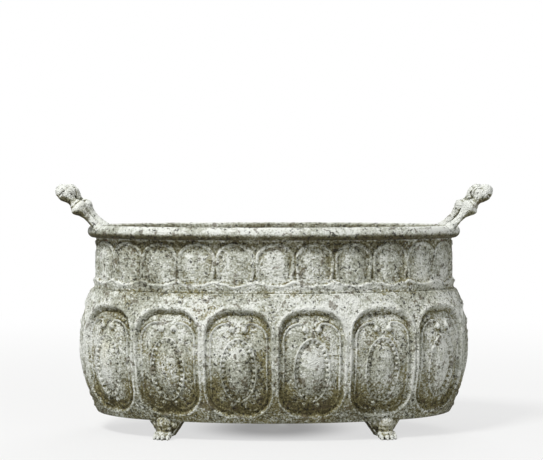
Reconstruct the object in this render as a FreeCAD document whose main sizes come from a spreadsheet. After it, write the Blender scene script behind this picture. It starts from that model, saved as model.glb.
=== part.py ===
import FreeCAD, Part
import math
import os
import re
from collections import namedtuple

import Sketcher

# Oval trough planter of bolted castings. Front is -Y, right is +X, the floor is z = 0.
# Insets are measured inwards from the belly line, the widest line of the body.

doc = FreeCAD.newDocument("trough_planter")

# Driving sizes, in mm and degrees
sizes = {
    # belly line in plan: tangent arcs for each long side, corner and end
    "front_radius": 530,
    "corner_radius": 199,
    "end_radius": 116,
    "front_angle": 26,
    "corner_angle": 34,
    # body wall, heights from its lower edge
    "foot_height": 30,
    "body_height": 212,
    "belly_height": 125,
    "lower_curve": 260,
    "upper_curve": 188,
    "wall_thickness": 10,
    "flange_thickness": 6,
    "flange_inset": 48.5,
    "ledge_inset": 60,
    # cartouches and their ovals
    "ridge_width": 10,
    "cartouche_sill": 13,
    "cartouche_head": 26,
    "cartouche_corner": 34,
    "recess_depth": 6,
    "oval_width": 61,
    "oval_height": 105,
    "oval_centre": 89,
    "oval_rise": 6,
    # neck and its niches
    "neck_inset": 28.5,
    "neck_thickness": 6,
    "neck_height": 92,
    "arch_width": 55,
    "arch_sill": 19,
    "arch_headroom": 12,
    "arch_depth": 2.5,
    "moulding_height": 19,
    "moulding_thickness": 4.5,
    "moulding_round": 3,
    # rim bead
    "rim_diameter": 21,
    "rim_inset": 25.5,
    "rim_lift": 4.5,
    # loose bottom
    "base_thickness": 5,
    "base_clearance": 1.5,
    "drain_gap": 14,
    # feet
    "foot_angle": 21.5,
    "foot_inset": 52,
    "web_width": 58,
    "web_thickness": 16,
    "web_foot_width": 18,
    "ankle_reach": 19,
    "ankle_diameter": 21,
    "knee_reach": 27,
    "knee_diameter": 19,
    "knee_rise": 9,
    "paw_width": 30,
    "paw_length": 30,
    "paw_height": 19,
    "toe_width": 9,
    "toe_length": 13,
    "toe_height": 11,
    # handles
    "handle_span": 110,
    "handle_length": 89,
    "handle_tilt": 46,
    "leg_diameter": 14,
    "saddle_diameter": 18,
    "saddle_length": 26,
    "knuckle_distance": 54,
    "knuckle_length": 30,
    "knuckle_diameter": 28,
    "knob_diameter": 31,
    "grip_diameter": 20,
    # fasteners
    "bolt_diameter": 6,
    "head_width": 10,
    "head_height": 4,
    "nut_height": 5,
    "bolt_inset": 41.5,
    "foot_bolt_diameter": 8,
    "foot_head_width": 13,
    "foot_head_height": 5.5,
    "foot_bolt_grip": 14,
    "washer_diameter": 18,
    "washer_thickness": 2,
    "rim_screw_diameter": 4,
    "rim_screw_head": 8,
    "rim_screw_length": 13,
    "handle_bolt_reach": 28,
    "handle_bolt_seat": 14,
    "hole_clearance": 0.4,
    "seat_clearance": 0.1,
    "plate_clearance": 1,
}

dims = doc.addObject("Spreadsheet::Sheet", "dims")
for row, (alias, size) in enumerate(sizes.items(), start=1):
    dims.set("A%d" % row, str(size))
    dims.setAlias("A%d" % row, alias)
doc.recompute()

size_name = re.compile(r"\b(%s)\b" % "|".join(sizes))


def formula(text):
    # bare size names become references to the sheet
    return size_name.sub(r"dims.\1", text)


def value(text):
    return float(dims.evalExpression(formula(text)))


def bind(piece, prop, text):
    piece.setExpression(prop, formula(text))


def put(piece, x, y, z, yaw="0", pitch="0"):
    text = "placement(vector(%s; %s; %s); rotation(%s; %s; 0))" % (x, y, z, yaw, pitch)
    bind(piece, "Placement", text)
    return piece


# Sketch outlines, every corner and radius bound to the sheet

def pin(sketch, text, *constraint):
    index = sketch.addConstraint(Sketcher.Constraint(*constraint, value(text)))
    bind(sketch, "Constraints[%d]" % index, text)


def arc_between(start, end, radius):
    chord = end - start
    middle = (start + end) * 0.5
    rise = math.sqrt(radius ** 2 - (chord.Length / 2) ** 2)
    centre = middle + FreeCAD.Vector(-chord.y, chord.x, 0).normalize() * rise
    first = math.atan2(start.y - centre.y, start.x - centre.x)
    last = math.atan2(end.y - centre.y, end.x - centre.x)
    if last < first:
        last += 2 * math.pi
    circle = Part.Circle(centre, FreeCAD.Vector(0, 0, 1), radius)
    return Part.ArcOfCircle(circle, first, last)


def outline(sketch, corners):
    # (x, y) starts a straight stretch, (x, y, radius, turn) an arc, turn -1 where it runs clockwise
    points = [FreeCAD.Vector(value(corner[0]), value(corner[1]), 0) for corner in corners]
    first = sketch.GeometryCount
    heads = []
    for index, corner in enumerate(corners):
        start = points[index]
        end = points[(index + 1) % len(points)]
        if len(corner) == 2:
            sketch.addGeometry(Part.LineSegment(start, end), False)
            heads.append(1)
        elif corner[3] > 0:
            sketch.addGeometry(arc_between(start, end, value(corner[2])), False)
            heads.append(1)
        else:
            sketch.addGeometry(arc_between(end, start, value(corner[2])), False)
            heads.append(2)
    for index, corner in enumerate(corners):
        after = (index + 1) % len(corners)
        join = Sketcher.Constraint("Coincident", first + index, 3 - heads[index], first + after, heads[after])
        sketch.addConstraint(join)
        pin(sketch, corner[0], "DistanceX", first + index, heads[index])
        pin(sketch, corner[1], "DistanceY", first + index, heads[index])
        if len(corner) == 4:
            pin(sketch, corner[2], "Radius", first + index)


def circle_in(sketch, x, y, diameter):
    place = FreeCAD.Vector(value(x), value(y), 0)
    ring = Part.Circle(place, FreeCAD.Vector(0, 0, 1), value(diameter) / 2)
    index = sketch.addGeometry(ring, False)
    pin(sketch, x, "DistanceX", index, 3)
    pin(sketch, y, "DistanceY", index, 3)
    pin(sketch, diameter, "Diameter", index)


# Bodies and features

def new_body(name):
    return doc.addObject("PartDesign::Body", name)


def sketch_on(body, name, role):
    sketch = body.newObject("Sketcher::SketchObject", name)
    for plane in body.Origin.OriginFeatures:
        if plane.Role == role:
            sketch.AttachmentSupport = [(plane, "")]
    sketch.MapMode = "FlatFace"
    return sketch


def revolution(body, sketch, axis, sweep):
    turn = body.newObject("PartDesign::Revolution", sketch.Name + "_turn")
    turn.Profile = sketch
    turn.ReferenceAxis = (sketch, [axis])
    turn.Midplane = True
    bind(turn, "Angle", sweep)
    return turn


def pad(body, sketch, length, midplane=False, back=False):
    block = body.newObject("PartDesign::Pad", sketch.Name + "_pad")
    block.Profile = sketch
    block.Midplane = midplane
    block.Reversed = back
    bind(block, "Length", length)
    return block


def cut(name, base, tools):
    piece = doc.addObject("Part::Cut", name)
    piece.Base = base
    piece.Tool = tools[0] if len(tools) == 1 else fuse(name + "_tools", tools)
    return piece


def fuse(name, shapes):
    piece = doc.addObject("Part::MultiFuse", name)
    piece.Shapes = shapes
    return piece


def common(name, base, tool):
    piece = doc.addObject("Part::Common", name)
    piece.Base = base
    piece.Tool = tool
    return piece


def group(name, shapes):
    piece = doc.addObject("Part::Compound", name)
    piece.Links = shapes
    return piece


def cylinder(name, diameter, height, **where):
    piece = doc.addObject("Part::Cylinder", name)
    bind(piece, "Radius", "(%s) / 2" % diameter)
    bind(piece, "Height", height)
    return put(piece, **where)


def hexagon(name, width, height, **where):
    piece = doc.addObject("Part::Prism", name)
    piece.Polygon = 6
    bind(piece, "Circumradius", "(%s) / sqrt(3)" % width)
    bind(piece, "Height", height)
    return put(piece, **where)


def box(name, length, width, height, x, y, z):
    piece = doc.addObject("Part::Box", name)
    bind(piece, "Length", length)
    bind(piece, "Width", width)
    bind(piece, "Height", height)
    return put(piece, x, y, z)


# The plan: eight tangent arcs, each with its centre, belly radius, middle direction and sweep

Arc = namedtuple("Arc", "x y radius middle sweep")

side_turn = "((front_angle + corner_angle) * 1 deg)"
front_turn = "(front_angle * 1 deg)"
front_centre = "((front_radius - corner_radius) * cos(%s) + (corner_radius - end_radius) * cos(%s))" % (
    front_turn, side_turn)
end_centre = "((front_radius - corner_radius) * sin(%s) + (corner_radius - end_radius) * sin(%s))" % (
    front_turn, side_turn)
corner_x = "((front_radius - corner_radius) * sin(%s))" % front_turn
corner_y = "((corner_radius - end_radius) * cos(%s))" % side_turn
end_sweep = "(180 - 2 * front_angle - 2 * corner_angle)"
corner_middle = "(90 - front_angle - corner_angle / 2)"

arcs = {
    "front": Arc("0", front_centre, "front_radius", "(-90)", "2 * front_angle"),
    "front_right": Arc(corner_x, corner_y, "corner_radius", "(-%s)" % corner_middle, "corner_angle"),
    "right": Arc(end_centre, "0", "end_radius", "(0)", end_sweep),
    "back_right": Arc(corner_x, "-" + corner_y, "corner_radius", corner_middle, "corner_angle"),
    "back": Arc("0", "-" + front_centre, "front_radius", "(90)", "2 * front_angle"),
    "back_left": Arc(
        "-" + corner_x, "-" + corner_y, "corner_radius", "(180 - %s)" % corner_middle, "corner_angle"),
    "left": Arc("-" + end_centre, "0", "end_radius", "(180)", end_sweep),
    "front_left": Arc(
        "-" + corner_x, corner_y, "corner_radius", "(180 + %s)" % corner_middle, "corner_angle"),
}


def spot(arc, offset, inset):
    # x, y and direction of a point on an arc, offset in degrees from the arc's middle
    yaw = "(%s + %s)" % (arc.middle, offset)
    x = "%s + (%s - (%s)) * cos(%s * 1 deg)" % (arc.x, arc.radius, inset, yaw)
    y = "%s + (%s - (%s)) * sin(%s * 1 deg)" % (arc.y, arc.radius, inset, yaw)
    return {"x": x, "y": y, "yaw": yaw}


def oval(sketch, inset):
    reach = {"front": "(front_radius - (%s))" % inset, "end": "(end_radius - (%s))" % inset}
    near_x = "%s * sin(%s)" % (reach["front"], front_turn)
    near_y = "(%s * cos(%s) - %s)" % (reach["front"], front_turn, front_centre)
    far_x = "(%s + %s * sin(%s))" % (end_centre, reach["end"], side_turn)
    far_y = "%s * cos(%s)" % (reach["end"], side_turn)
    corner = "corner_radius - (%s)" % inset
    outline(sketch, [
        ("-(%s)" % near_x, "-" + near_y, reach["front"], 1),
        (near_x, "-" + near_y, corner, 1),
        (far_x, "-(%s)" % far_y, reach["end"], 1),
        (far_x, far_y, corner, 1),
        (near_x, near_y, reach["front"], 1),
        ("-(%s)" % near_x, near_y, corner, 1),
        ("-" + far_x, far_y, reach["end"], 1),
        ("-" + far_x, "-(%s)" % far_y, corner, 1),
    ])


def oval_ring(name, outer_inset, inner_inset, height, level):
    body = new_body(name)
    sketch = sketch_on(body, name + "_plan", "XY_Plane")
    oval(sketch, outer_inset)
    oval(sketch, inner_inset)
    pad(body, sketch, height)
    return put(body, "0", "0", level)


# Levels
belly = "(foot_height + belly_height)"
shoulder = "(foot_height + body_height)"
neck_top = "(foot_height + body_height + neck_height)"
rim_level = "(foot_height + body_height + neck_height + rim_lift)"
ledge = "(foot_height + flange_thickness)"
plate_top = "(foot_height + flange_thickness + base_thickness)"


def lower_r(radius, depth, level):
    # distance from an arc's axis to the wall's lower curve, at a depth under its face
    return "%s - lower_curve + sqrt((lower_curve - (%s))^2 - (%s - %s)^2)" % (radius, depth, belly, level)


def upper_r(radius, depth, level):
    return "%s - upper_curve + sqrt((upper_curve - (%s))^2 - (%s - %s)^2)" % (radius, depth, level, belly)


def wall_curve(radius, depth, low, high):
    # upward line of the wall at a depth under its face
    return [
        (lower_r(radius, depth, low), low, "lower_curve - (%s)" % depth, 1),
        ("%s - (%s)" % (radius, depth), belly, "upper_curve - (%s)" % depth, 1),
        (upper_r(radius, depth, high), high),
    ]


def wall_curve_down(radius, depth, low, high):
    return [
        (upper_r(radius, depth, high), high, "upper_curve - (%s)" % depth, -1),
        ("%s - (%s)" % (radius, depth), belly, "lower_curve - (%s)" % depth, -1),
        (lower_r(radius, depth, low), low),
    ]


# Body walls

def wall(name, arc):
    body = new_body(name)
    sketch = sketch_on(body, name + "_section", "XZ_Plane")
    under_flange = "(%s - flange_thickness)" % shoulder
    corners = wall_curve(arc.radius, "0", "foot_height", shoulder)
    corners += [
        ("%s - flange_inset" % arc.radius, shoulder),
        ("%s - flange_inset" % arc.radius, under_flange),
    ]
    corners += wall_curve_down(arc.radius, "wall_thickness", ledge, under_flange)
    corners += [
        ("%s - ledge_inset" % arc.radius, ledge),
        ("%s - ledge_inset" % arc.radius, "foot_height"),
    ]
    outline(sketch, corners)
    revolution(body, sketch, "V_Axis", arc.sweep)
    return put(body, arc.x, arc.y, "0", arc.middle)


def depth_band(name, arc, outer, inner):
    # a slice of the whole arc between two depths under the wall's face
    body = new_body(name)
    sketch = sketch_on(body, name + "_section", "XZ_Plane")
    low = "(foot_height + cartouche_sill / 2)"
    high = "(%s - cartouche_head / 2)" % shoulder
    outline(sketch, wall_curve(arc.radius, outer, low, high) + wall_curve_down(arc.radius, inner, low, high))
    revolution(body, sketch, "V_Axis", arc.sweep)
    return put(body, arc.x, arc.y, "0", arc.middle)


def cartouche_block(name, arc, offset, pitch):
    # a round-cornered block through the wall, its sides pointing to the arc's axis
    body = new_body(name)
    sketch = sketch_on(body, name + "_section", "XZ_Plane")
    low = "(foot_height + cartouche_sill)"
    high = "(%s - cartouche_head)" % shoulder
    inner = "%s - flange_inset + 8" % arc.radius
    outer = "%s + wall_thickness" % arc.radius
    outline(sketch, [(inner, low), (outer, low), (outer, high), (inner, high)])
    sweep = "%s - ridge_width / %s * 180 / pi" % (pitch, arc.radius)
    turn = revolution(body, sketch, "V_Axis", sweep)
    doc.recompute()
    corners = []
    for number, edge in enumerate(turn.Shape.Edges, start=1):
        level = isinstance(edge.Curve, Part.Line) and abs(edge.Curve.Direction.z) < 0.01
        if level:
            corners.append("Edge%d" % number)
    rounding = body.newObject("PartDesign::Fillet", name + "_corners")
    rounding.Base = (turn, corners)
    bind(rounding, "Radius", "cartouche_corner")
    return put(body, arc.x, arc.y, "0", "(%s + %s)" % (arc.middle, offset))


def cabochon(name, arc, offset):
    # oval egg, set so that its ends dip just under the recess floor; its seam faces inwards
    drop = "asin((belly_height - oval_centre) / (lower_curve - recess_depth))"
    sink = "(oval_height^2 / 6 / (lower_curve - recess_depth))"
    reach = "(lower_curve - recess_depth - %s)" % sink
    away = "(%s - lower_curve + %s * cos(%s))" % (arc.radius, reach, drop)
    yaw = "(%s + %s)" % (arc.middle, offset)
    egg = doc.addObject("Part::Ellipsoid", name)
    bind(egg, "Radius1", "oval_height / 2")
    bind(egg, "Radius2", "oval_rise + %s" % sink)
    bind(egg, "Radius3", "oval_width / 2")
    egg.Angle1 = -90
    return put(
        egg,
        "%s + %s * cos(%s * 1 deg)" % (arc.x, away, yaw),
        "%s + %s * sin(%s * 1 deg)" % (arc.y, away, yaw),
        "%s - %s * sin(%s)" % (belly, reach, drop),
        "(%s + 180)" % yaw,
        "-%s / 1 deg" % drop,
    )


def end_flange(name, arc, side):
    # upright flange inside the wall's end, on the arc's side of the joint plane
    body = new_body(name)
    sketch = sketch_on(body, name + "_section", "XZ_Plane")
    low = "(%s + plate_clearance)" % plate_top
    high = "(%s - flange_thickness / 2)" % shoulder
    corners = wall_curve(arc.radius, "wall_thickness / 2", low, high)
    corners += [
        ("%s - flange_inset" % arc.radius, high),
        ("%s - flange_inset" % arc.radius, low),
    ]
    outline(sketch, corners)
    pad(body, sketch, "flange_thickness", back=side < 0)
    return put(body, arc.x, arc.y, "0", "(%s + %d * (%s) / 2)" % (arc.middle, side, arc.sweep))


# The upright joints: each names an arc whose far end is the joint plane
joints = {
    "front_right": ("front", 1),
    "front_left": ("front", -1),
    "back_left": ("back", 1),
    "back_right": ("back", -1),
}
joint_levels = ["(foot_height + %d * body_height / 4)" % step for step in (1, 2, 3)]


def joint_spot(corner, along, level):
    # a point on a joint's bolt line, moved along the bolt, which points from the long side to the end
    name, side = joints[corner]
    arc = arcs[name]
    place = spot(arc, "%d * (%s) / 2" % (side, arc.sweep), "bolt_inset")
    yaw = "(%s + %d)" % (place["yaw"], 90 * side)
    return {
        "x": "%s + (%s) * cos(%s * 1 deg)" % (place["x"], along, yaw),
        "y": "%s + (%s) * sin(%s * 1 deg)" % (place["y"], along, yaw),
        "z": level,
        "yaw": yaw,
        "pitch": "90",
    }


def joint_holes(panel, corners):
    holes = []
    for corner in corners:
        for number, level in enumerate(joint_levels):
            name = "%s_%s_hole_%d" % (panel, corner, number)
            where = joint_spot(corner, "-2 * flange_thickness", level)
            holes.append(cylinder(name, "bolt_diameter + hole_clearance", "4 * flange_thickness", **where))
    return holes


# Bolts down through the flanges of neck and body, as arc and offset
flange_bolts = []
for name in ("front", "back"):
    flange_bolts += [(name, "%g * front_angle" % share) for share in (-0.5, 0, 0.5)]
for name in joints:
    flange_bolts.append((name, "0"))


def flange_holes(panel, names):
    holes = []
    for number, (name, offset) in enumerate(flange_bolts):
        if name in names:
            where = spot(arcs[name], offset, "bolt_inset")
            where["z"] = "%s - 2 * flange_thickness" % shoulder
            diameter = "bolt_diameter + hole_clearance"
            label = "%s_flange_hole_%d" % (panel, number)
            holes.append(cylinder(label, diameter, "4 * flange_thickness", **where))
    return holes


foot_spots = {
    "foot_front_right": ("front", "foot_angle"),
    "foot_front_left": ("front", "-foot_angle"),
    "foot_back_left": ("back", "foot_angle"),
    "foot_back_right": ("back", "-foot_angle"),
}


def foot_holes(panel, name):
    holes = []
    for foot, (side, offset) in foot_spots.items():
        if side == name:
            where = spot(arcs[side], offset, "foot_inset")
            where["z"] = "foot_height - 2"
            diameter = "foot_bolt_diameter + hole_clearance"
            holes.append(cylinder("%s_%s_hole" % (panel, foot), diameter, "flange_thickness + 4", **where))
    return holes


def panel(name, arc_names, cartouches, flanges, corners):
    walls = [wall("%s_%s_wall" % (name, arc_name), arcs[arc_name]) for arc_name in arc_names]
    for arc_name, side in flanges:
        walls.append(end_flange("%s_%s_flange_%d" % (name, arc_name, side + 1), arcs[arc_name], side))
    recesses = []
    domes = []
    for arc_name in arc_names:
        arc = arcs[arc_name]
        label = "%s_%s" % (name, arc_name)
        places = [(offset, pitch) for where, offset, pitch in cartouches if where == arc_name]
        blocks = []
        eggs = []
        for number, (offset, pitch) in enumerate(places):
            blocks.append(cartouche_block("%s_block_%d" % (label, number), arc, offset, pitch))
            eggs.append(cabochon("%s_egg_%d" % (label, number), arc, offset))
        face = depth_band(label + "_face", arc, "-2", "recess_depth")
        recesses.append(common(label + "_recesses", face, group(label + "_blocks", blocks)))
        core = depth_band(label + "_core", arc, "-2 * oval_rise", "wall_thickness - 1")
        domes.append(common(label + "_domes", core, group(label + "_eggs", eggs)))
    shell = cut(name + "_shell", fuse(name + "_walls", walls), recesses)
    relief = fuse(name + "_relief", [shell] + domes)
    holes = joint_holes(name, corners) + flange_holes(name, arc_names)
    for arc_name in arc_names:
        holes += foot_holes(name, arc_name)
    return cut(name, relief, holes)


def long_panel(name):
    shares = (-0.75, -0.25, 0.25, 0.75)
    cartouches = [(name, "%g * front_angle" % share, "front_angle / 2") for share in shares]
    corners = [corner for corner in joints if joints[corner][0] == name]
    return panel(name + "_panel", [name], cartouches, [(name, 1), (name, -1)], corners)


def end_panel(name):
    arc_names = ["front_" + name, name, "back_" + name]
    pitches = {name: end_sweep}
    cartouches = [(arc_name, "0", pitches.get(arc_name, "corner_angle")) for arc_name in arc_names]
    front_side = -1 if name == "right" else 1
    flanges = [(arc_names[0], front_side), (arc_names[2], -front_side)]
    return panel(name + "_panel", arc_names, cartouches, flanges, [arc_names[0], arc_names[2]])


def bolt(name, where, length):
    # head behind the start, shank along the direction; where(along) gives the place
    head = hexagon(name + "_head", "head_width", "head_height", **where("-head_height"))
    shank = cylinder(name + "_shank", "bolt_diameter", length, **where("0"))
    return fuse(name, [head, shank])


def nut(name, where):
    blank = hexagon(name + "_blank", "head_width", "nut_height", **where("0"))
    bore = cylinder(name + "_bore", "bolt_diameter", "nut_height + 2", **where("-1"))
    return cut(name, blank, [bore])


grip = "2 * flange_thickness + nut_height + 2"


def panel_fasteners():
    bolts = []
    nuts = []
    for corner in joints:
        for number, level in enumerate(joint_levels):
            name = "joint_%s_%d" % (corner, number)
            bolts.append(bolt(name + "_bolt", lambda along: joint_spot(
                corner, "%s - flange_thickness" % along, level), grip))
            nuts.append(nut(name + "_nut", lambda along: joint_spot(
                corner, "%s + flange_thickness" % along, level)))
    return group("panel_bolts", bolts), group("panel_nuts", nuts)


# Neck

# niches, as arc and offset: seven on each long side and five round each end
arches = []
for name in ("front", "back"):
    arches += [(name, "%d * 2 * front_angle / 7" % step) for step in range(-3, 4)]
for name in joints:
    arches += [(name, "%g * corner_angle" % share) for share in (-0.21, 0.375)]
for name in ("right", "left"):
    arches.append((name, "0"))
# corner offsets run towards the end on two corners and away from it on the other two
towards_front = ("back_right", "front_left")
arches = [(name, "-(%s)" % offset if name in towards_front else offset) for name, offset in arches]


def arch_block(name, arc, offset):
    body = new_body(name)
    sketch = sketch_on(body, name + "_outline", "YZ_Plane")
    spring = "(neck_height - arch_headroom - arch_width / 2)"
    outline(sketch, [
        ("-arch_width / 2", "arch_sill"),
        ("arch_width / 2", "arch_sill"),
        ("arch_width / 2", spring, "arch_width / 2 * 1.0001", 1),
        ("-arch_width / 2", spring),
    ])
    pad(body, sketch, "3 * neck_thickness", midplane=True)
    where = spot(arc, offset, "neck_inset")
    return put(body, where["x"], where["y"], shoulder, where["yaw"])


neck_levels = ["(%s + %g * neck_height)" % (shoulder, share) for share in (0.3, 0.6)]
end_face = "(%s + end_radius)" % end_centre


def neck_end_spot(side, along, level):
    # bolt line through the end flanges, pointing to the back
    sign = "" if side == "right" else "-"
    return {
        "x": "%s(%s - bolt_inset)" % (sign, end_face),
        "y": along,
        "z": level,
        "yaw": "90",
        "pitch": "90",
    }


handle_x = "(%s + sqrt((end_radius - rim_inset)^2 - handle_span^2 / 4))" % end_centre


def handle_spot(side, leg, along):
    # a point on a leg's axis, measured outwards from the bead's centre line
    sign = "" if side == "right" else "-"
    return {
        "x": "%s(%s + (%s) * cos(handle_tilt * 1 deg))" % (sign, handle_x, along),
        "y": "%d * handle_span / 2" % leg,
        "z": "%s + (%s) * sin(handle_tilt * 1 deg)" % (rim_level, along),
        "yaw": "0" if side == "right" else "180",
        "pitch": "90 - handle_tilt",
    }


def handle_holes(name):
    holes = []
    for side in ("left", "right"):
        for leg in (-1, 1):
            label = "%s_%s_leg_%d" % (name, side, leg + 1)
            shank = handle_spot(side, leg, "-3 * rim_diameter / 2")
            bore = "foot_bolt_diameter + hole_clearance"
            holes.append(cylinder(label + "_hole", bore, "3 * rim_diameter", **shank))
            seat = handle_spot(side, leg, "-handle_bolt_seat - rim_diameter")
            width = "foot_head_width * 2 / sqrt(3) + 2 * hole_clearance"
            holes.append(cylinder(label + "_seat", width, "rim_diameter", **seat))
    return holes


rim_screw_spots = []
for name in ("front", "back"):
    rim_screw_spots += [(name, "%g * front_angle" % share) for share in (-0.6, 0.6)]
for name in joints:
    rim_screw_spots.append((name, "0"))


def rim_screw_place(name, offset, inset):
    place = spot(arcs[name], offset, inset)
    place["z"] = "%s - rim_lift" % neck_top
    place["pitch"] = "90"
    return place


def rim_screw_holes(label):
    holes = []
    for number, (name, offset) in enumerate(rim_screw_spots):
        where = rim_screw_place(name, offset, "neck_inset + 2 * neck_thickness")
        reach = "neck_thickness + rim_screw_length"
        holes.append(cylinder("%s_rim_hole_%d" % (label, number), "rim_screw_diameter", reach, **where))
    return holes


def neck_half(side):
    name = "neck_" + side
    wall_ring = oval_ring(
        name + "_ring", "neck_inset", "neck_inset + neck_thickness", "neck_height", shoulder)
    foot_ring = oval_ring(
        name + "_flange", "neck_inset + neck_thickness / 2", "flange_inset", "flange_thickness", shoulder)
    skin = oval_ring(name + "_skin", "neck_inset - 1", "neck_inset + arch_depth", "neck_height", shoulder)
    long_arcs = [side, side + "_left", side + "_right"]
    blocks = []
    for number, (arc_name, offset) in enumerate(arches):
        if arc_name in long_arcs or arc_name in ("left", "right"):
            blocks.append(arch_block("%s_arch_%d" % (name, number), arcs[arc_name], offset))
    niches = common(name + "_niches", skin, group(name + "_blocks", blocks))
    ring = cut(name + "_walls", fuse(name + "_castings", [wall_ring, foot_ring]), [niches])
    half = box(
        name + "_half", "4 * front_radius", "front_radius", "2 * neck_height",
        "-2 * front_radius", "-front_radius" if side == "front" else "0", "%s - 1" % shoulder)
    kept = common(name + "_kept", ring, half)
    flanges = []
    reach = "flange_inset - neck_inset - neck_thickness / 2"
    for end in ("left", "right"):
        x = "%s - flange_inset" % end_face
        if end == "left":
            x = "-(%s) + neck_inset + neck_thickness / 2" % end_face
        y = "-flange_thickness" if side == "front" else "0"
        flanges.append(box(
            "%s_%s_end" % (name, end), reach, "flange_thickness", "neck_height * 3 / 4", x, y, shoulder))
    holes = flange_holes(name, long_arcs) + handle_holes(name) + rim_screw_holes(name)
    for end in ("left", "right"):
        for number, level in enumerate(neck_levels):
            where = neck_end_spot(end, "-2 * flange_thickness", level)
            label = "%s_%s_hole_%d" % (name, end, number)
            holes.append(cylinder(label, "bolt_diameter + hole_clearance", "4 * flange_thickness", **where))
    return cut(name, fuse(name + "_flanged", [kept] + flanges), holes)


def neck_fasteners():
    bolts = []
    nuts = []
    for number, (name, offset) in enumerate(flange_bolts):
        def down(along):
            where = spot(arcs[name], offset, "bolt_inset")
            where["z"] = "%s + flange_thickness - (%s)" % (shoulder, along)
            where["pitch"] = "180"
            return where

        bolts.append(bolt("flange_bolt_%d" % number, down, grip))
        nuts.append(nut("flange_nut_%d" % number, lambda along: down("%s + 2 * flange_thickness" % along)))
    for end in ("left", "right"):
        for number, level in enumerate(neck_levels):
            bolts.append(bolt("%s_end_bolt_%d" % (end, number), lambda along: neck_end_spot(
                end, "%s - flange_thickness" % along, level), grip))
            nuts.append(nut("%s_end_nut_%d" % (end, number), lambda along: neck_end_spot(
                end, "%s + flange_thickness" % along, level)))
    return group("neck_bolts", bolts), group("neck_nuts", nuts)


def outside_of(edge, inset):
    # an edge of the plan lies outside an inset when its radius is larger than its arc's at that inset
    for name in ("front_radius", "corner_radius", "end_radius"):
        if abs(edge.Curve.Radius - value(name)) < value("neck_inset") + 1:
            return edge.Curve.Radius > value(name) - inset
    return False


def waist_moulding():
    body = oval_ring(
        "waist_moulding", "neck_inset - moulding_thickness", "neck_inset", "moulding_height", shoulder)
    doc.recompute()
    block = body.Tip
    middle = value("neck_inset - moulding_thickness / 2")
    edges = []
    for number, edge in enumerate(block.Shape.Edges, start=1):
        ends = [vertex.Point for vertex in edge.Vertexes]
        high = all(abs(point.z - block.Shape.BoundBox.ZMax) < 0.01 for point in ends)
        if high and outside_of(edge, middle):
            edges.append("Edge%d" % number)
    rounding = body.newObject("PartDesign::Fillet", "waist_moulding_round")
    rounding.Base = (block, edges)
    bind(rounding, "Radius", "moulding_round")
    return body


# Rim

def rim_ring():
    beads = []
    for name, arc in arcs.items():
        bead = doc.addObject("Part::Torus", "rim_bead_" + name)
        bind(bead, "Radius1", "%s - rim_inset" % arc.radius)
        bind(bead, "Radius2", "rim_diameter / 2")
        bind(bead, "Angle3", arc.sweep)
        beads.append(put(bead, arc.x, arc.y, rim_level, "(%s - (%s) / 2)" % (arc.middle, arc.sweep)))
    rebate = oval_ring(
        "rim_rebate", "neck_inset", "neck_inset + 2 * neck_thickness", "rim_diameter",
        "%s - rim_diameter" % neck_top)
    bead = fuse("rim_bead", beads)
    piece = cut("rim_ring", bead, [rebate] + handle_holes("rim") + rim_screw_holes("rim"))
    return piece, bead


def rim_screws():
    screws = []
    for number, (name, offset) in enumerate(rim_screw_spots):
        inner = "neck_inset + neck_thickness"
        screw = "rim_screw_%d" % number
        head_place = rim_screw_place(name, offset, "%s + seat_clearance + head_height" % inner)
        head = cylinder(screw + "_head", "rim_screw_head", "head_height", **head_place)
        shank_place = rim_screw_place(name, offset, "%s + seat_clearance" % inner)
        shank = cylinder(screw + "_shank", "rim_screw_diameter", "rim_screw_length", **shank_place)
        screws.append(fuse(screw, [head, shank]))
    return group("rim_screws", screws)


# Loose bottom

def base_half(side):
    # the two halves leave a gap between them that drains the trough
    name = "base_plate_" + side
    body = new_body(name + "_blank")
    sketch = sketch_on(body, name + "_plan", "XY_Plane")
    wall_inset = "lower_curve - sqrt((lower_curve - wall_thickness)^2 - (belly_height - flange_thickness)^2)"
    oval(sketch, "%s + base_clearance" % wall_inset)
    for spot_side, offset in foot_spots.values():
        where = spot(arcs[spot_side], offset, "foot_inset")
        circle_in(sketch, where["x"], where["y"], "foot_bolt_diameter + hole_clearance")
    pad(body, sketch, "base_thickness")
    put(body, "0", "0", ledge)
    start = "-drain_gap / 2" if side == "left" else "drain_gap / 2 - 2 * front_radius"
    far_side = box(
        name + "_far_side", "2 * front_radius", "2 * front_radius", "3 * base_thickness",
        start, "-front_radius", "%s - base_thickness" % ledge)
    return cut(name, body, [far_side])


# Feet, drawn with the bolt axis at the origin and the toes to -Y

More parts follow.
